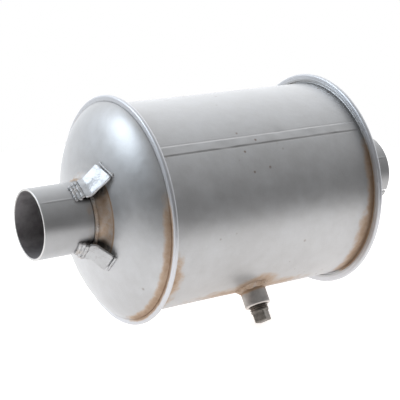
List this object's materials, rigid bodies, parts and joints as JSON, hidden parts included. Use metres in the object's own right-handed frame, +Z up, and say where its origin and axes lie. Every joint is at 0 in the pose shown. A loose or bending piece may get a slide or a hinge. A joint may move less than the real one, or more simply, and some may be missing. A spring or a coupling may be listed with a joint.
{
  "type": "engine exhaust muffler",
  "caption": "Round can-type exhaust muffler: domed heads rolled onto a sheet shell, straight inlet stub with gussets, slotted outlet stub and a plugged threaded port.",
  "frame": {"origin": "on the floor under the middle of the overall box, the part lying on its two rolled rims and the corner of its port plug", "axes": "+X along the muffler from inlet to outlet, +Z up, the plugged port below on the -Y side"},
  "size_m": [0.3048, 0.1666, 0.1667],
  "materials": {
    "silver_paint": "satin silver heat-resistant paint",
    "pipe_paint": "satin silver paint with soot and heat stain",
    "weld_metal": "rippled weld bead, painted over and rusting",
    "bare_steel": "aluminised sheet",
    "plug_steel": "dull oily steel",
    "sealing_compound": "dark thread sealing compound"
  },
  "bodies": {
    "muffler": {"shell": "silver_paint", "front_head": "silver_paint", "rear_head": "silver_paint", "inlet_pipe": "pipe_paint", "outlet_pipe": "pipe_paint", "inlet_pipe_cup": "bare_steel", "outlet_pipe_cup": "bare_steel", "inlet_neck_weld": "weld_metal", "outlet_neck_weld": "weld_metal", "front_baffle": "bare_steel", "rear_baffle": "bare_steel", "transfer_tube_1": "bare_steel", "transfer_tube_2": "bare_steel", "transfer_tube_3": "bare_steel", "gusset_1": "pipe_paint", "gusset_2": "pipe_paint", "gusset_3": "pipe_paint", "gusset_pipe_weld_1": "weld_metal", "gusset_pipe_weld_2": "weld_metal", "gusset_pipe_weld_3": "weld_metal", "gusset_head_weld_1": "weld_metal", "gusset_head_weld_2": "weld_metal", "gusset_head_weld_3": "weld_metal", "port_boss": "pipe_paint", "port_boss_weld": "weld_metal"},
    "seal": {"thread_seal": "sealing_compound"},
    "plug": {"port_plug": "plug_steel"}
  },
  "joints": [
    {"name": "plug_travel", "type": "slide", "parent": "muffler", "child": "seal", "axis": [0, -0.6424, -0.7663], "range_m": [0, 0.00987]},
    {"name": "plug_turn", "type": "hinge", "parent": "seal", "child": "plug", "pos_m": [0.00508, -0.0584, 0.01368], "axis": [0, -0.6424, -0.7663], "range_deg": [0, 2520]}
  ],
  "couplings": [
    {"joint": "plug_turn", "follows": "plug_travel", "rad_per_m": 4452.6}
  ]
}
